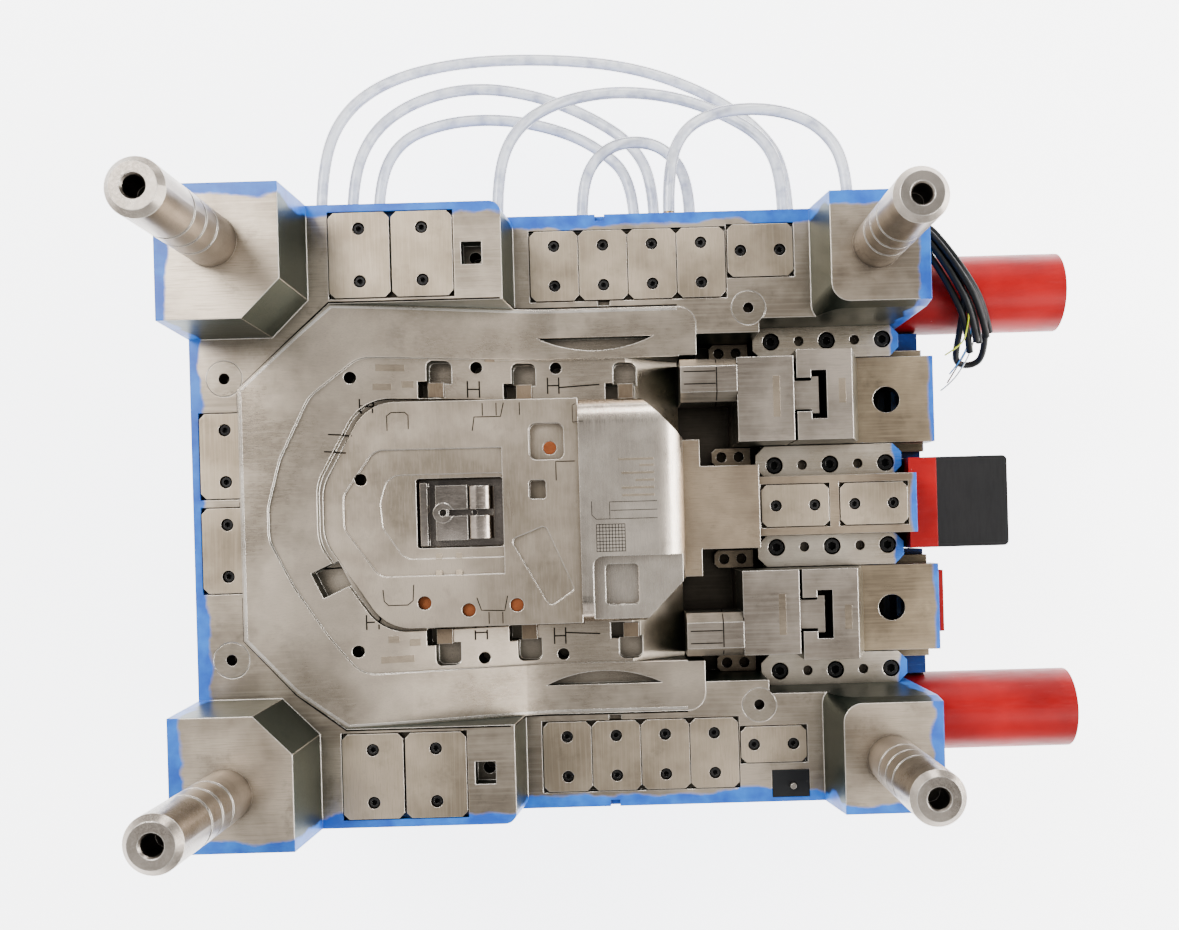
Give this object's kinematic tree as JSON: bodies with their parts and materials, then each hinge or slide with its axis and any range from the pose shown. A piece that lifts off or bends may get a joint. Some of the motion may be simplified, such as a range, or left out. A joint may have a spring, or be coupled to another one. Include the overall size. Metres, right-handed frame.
{
  "type": "injection mould half",
  "caption": "Moving half of an injection mould: core plate with inserts, guide pins, interlocks, wear plates, side slides in gibs, core-pull cylinder, ejector set and cooling hoses.",
  "frame": {"origin": "middle of the knockout bore at the clamp plate's back face; the mould half lies on that face", "axes": "+Z towards the parting face, the way the ejector pins move; +X towards the slides, cylinder and support legs; +Y towards the hose side"},
  "size_m": [0.867, 0.8306, 0.615],
  "materials": {
    "plate_steel": "milled mould steel",
    "clamp_steel": "milled steel, lightly oiled",
    "core_steel": "fine milled tool steel",
    "polished_steel": "polished tool steel",
    "wear_plate": "ground hardened steel",
    "pin_steel": "hardened and ground",
    "screw_black": "black oxide",
    "gib_steel": "ground hardened steel",
    "slide_steel": "ground tool steel",
    "ejector_brown": "heat-tinted",
    "red_paint": "gloss red paint",
    "blue_paint": "dark blue paint",
    "cylinder_zinc": "phosphated",
    "brass": "plain",
    "clear_hose": "clear soft plastic",
    "black_cable": "matte jacket",
    "counter_plastic": "black housing"
  },
  "bodies": {
    "mould_base": {"cable_hank": "black_cable", "centre_insert": "core_steel", "clamp_plate": "clamp_steel", "clamp_screws": "screw_black", "core_insert": "core_steel", "core_plate": "plate_steel", "counter_body": "counter_plastic", "cylinder_body": "cylinder_zinc", "cylinder_bracket": "red_paint", "ejector_guide_pins": "pin_steel", "front_gibs": "gib_steel", "gib_inner_lower": "gib_steel", "gib_inner_upper": "gib_steel", "gib_outer_lower": "gib_steel", "gib_outer_upper": "gib_steel", "gib_screws": "screw_black", "guide_pins_left": "pin_steel", "guide_pins_right": "pin_steel", "hose_a": "clear_hose", "hose_b": "clear_hose", "hose_c": "clear_hose", "hose_d": "clear_hose", "hose_e": "clear_hose", "hose_f": "clear_hose", "hose_nipples": "brass", "plate_screws": "screw_black", "saddle_insert": "polished_steel", "slide_rests": "blue_paint", "spacers": "clamp_steel", "stop_buttons": "screw_black", "support_legs": "red_paint", "support_pillars": "clamp_steel", "tail_insert": "core_steel", "wear_plates_end": "wear_plate", "wear_plates_low": "wear_plate", "wear_plates_side": "wear_plate", "wear_plates_tall": "wear_plate"},
    "ejector_set": {"ejector_plate": "clamp_steel", "ejector_retainer": "clamp_steel", "ejector_pins": "ejector_brown", "return_pins": "pin_steel"},
    "upper_slide": {"upper_slide_carriage": "slide_steel", "upper_slide_wedge_block": "slide_steel", "upper_slide_head": "slide_steel"},
    "lower_slide": {"lower_slide_carriage": "slide_steel", "lower_slide_wedge_block": "slide_steel", "lower_slide_head": "slide_steel", "slide_stop_plate": "red_paint"},
    "centre_core_pull": {"centre_slide": "slide_steel", "slide_wear_plates": "wear_plate", "slide_plate_screws": "screw_black", "cylinder_rod": "pin_steel"},
    "counter_button": {"counter_plunger": "pin_steel"},
    "lifter_lower_left_bar": {"lifter_lower_left": "pin_steel"},
    "lifter_lower_middle_bar": {"lifter_lower_middle": "pin_steel"},
    "lifter_lower_right_bar": {"lifter_lower_right": "pin_steel"},
    "lifter_upper_left_bar": {"lifter_upper_left": "pin_steel"},
    "lifter_upper_middle_bar": {"lifter_upper_middle": "pin_steel"},
    "lifter_upper_right_bar": {"lifter_upper_right": "pin_steel"}
  },
  "joints": [
    {"name": "ejection", "type": "slide", "parent": "mould_base", "child": "ejector_set", "axis": [0, 0, 1], "range_m": [0, 0.045]},
    {"name": "lifter_lower_left_travel", "type": "slide", "parent": "mould_base", "child": "lifter_lower_left_bar", "axis": [-0.1219, 0, 0.9925], "range_m": [0, 0.04534]},
    {"name": "lifter_lower_middle_travel", "type": "slide", "parent": "mould_base", "child": "lifter_lower_middle_bar", "axis": [-0.1219, 0, 0.9925], "range_m": [0, 0.04534]},
    {"name": "lifter_lower_right_travel", "type": "slide", "parent": "mould_base", "child": "lifter_lower_right_bar", "axis": [-0.1219, 0, 0.9925], "range_m": [0, 0.04534]},
    {"name": "lifter_upper_left_travel", "type": "slide", "parent": "mould_base", "child": "lifter_upper_left_bar", "axis": [-0.1219, 0, 0.9925], "range_m": [0, 0.04534]},
    {"name": "lifter_upper_middle_travel", "type": "slide", "parent": "mould_base", "child": "lifter_upper_middle_bar", "axis": [-0.1219, 0, 0.9925], "range_m": [0, 0.04534]},
    {"name": "lifter_upper_right_travel", "type": "slide", "parent": "mould_base", "child": "lifter_upper_right_bar", "axis": [-0.1219, 0, 0.9925], "range_m": [0, 0.04534]},
    {"name": "upper_slide_travel", "type": "slide", "parent": "mould_base", "child": "upper_slide", "axis": [1, 0, 0], "range_m": [0, 0.035]},
    {"name": "lower_slide_travel", "type": "slide", "parent": "mould_base", "child": "lower_slide", "axis": [1, 0, 0], "range_m": [0, 0.035]},
    {"name": "centre_core_pull_travel", "type": "slide", "parent": "mould_base", "child": "centre_core_pull", "axis": [1, 0, 0], "range_m": [0, 0.035]},
    {"name": "counter_press", "type": "slide", "parent": "mould_base", "child": "counter_button", "axis": [0, 0, -1], "range_m": [0, 0.003], "stiffness_N_per_m": 300, "springref_m": -0.004}
  ],
  "couplings": [
    {"joint": "lifter_lower_left_travel", "follows": "ejection", "ratio": 1.0075},
    {"joint": "lifter_lower_middle_travel", "follows": "ejection", "ratio": 1.0075},
    {"joint": "lifter_lower_right_travel", "follows": "ejection", "ratio": 1.0075},
    {"joint": "lifter_upper_left_travel", "follows": "ejection", "ratio": 1.0075},
    {"joint": "lifter_upper_middle_travel", "follows": "ejection", "ratio": 1.0075},
    {"joint": "lifter_upper_right_travel", "follows": "ejection", "ratio": 1.0075}
  ]
}
